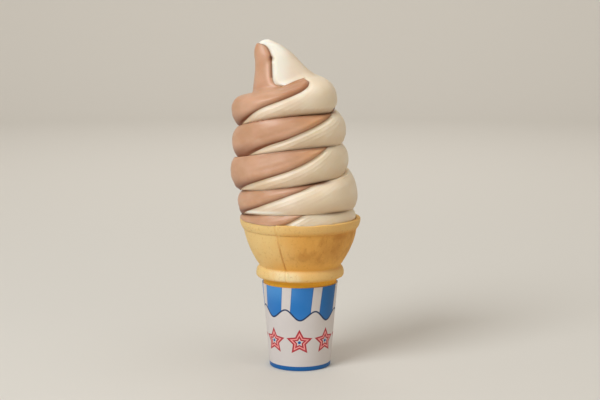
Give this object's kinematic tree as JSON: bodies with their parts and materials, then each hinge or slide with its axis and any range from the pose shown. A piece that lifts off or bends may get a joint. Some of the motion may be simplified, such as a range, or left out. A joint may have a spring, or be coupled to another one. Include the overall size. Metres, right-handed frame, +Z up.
{
  "type": "soft serve cone",
  "caption": "Chocolate and vanilla twist of soft serve standing in a flat-bottomed wafer cup with a striped paper sleeve.",
  "frame": {"origin": "centre of the wafer cup's flat base, on the surface that it stands on", "axes": "+Z up along the cup's axis; -Y is the front, where chocolate runs from the upper left and vanilla shows to the right; the swirl leans towards -X"},
  "size_m": [0.0666, 0.0636, 0.169],
  "materials": {
    "wafer": "matt toasted wafer, pale gold with browner patches",
    "printed_paper": "smooth white paper with blue stripes, a scalloped edge and a blue foot band",
    "chocolate_ice_cream": "soft, slightly moist, milk chocolate brown",
    "vanilla_ice_cream": "soft, slightly moist, warm cream"
  },
  "bodies": {
    "root": {"cake_cone": "wafer", "paper_sleeve": "printed_paper", "chocolate_strand": "chocolate_ice_cream", "vanilla_strand": "vanilla_ice_cream"}
  },
  "joints": []
}
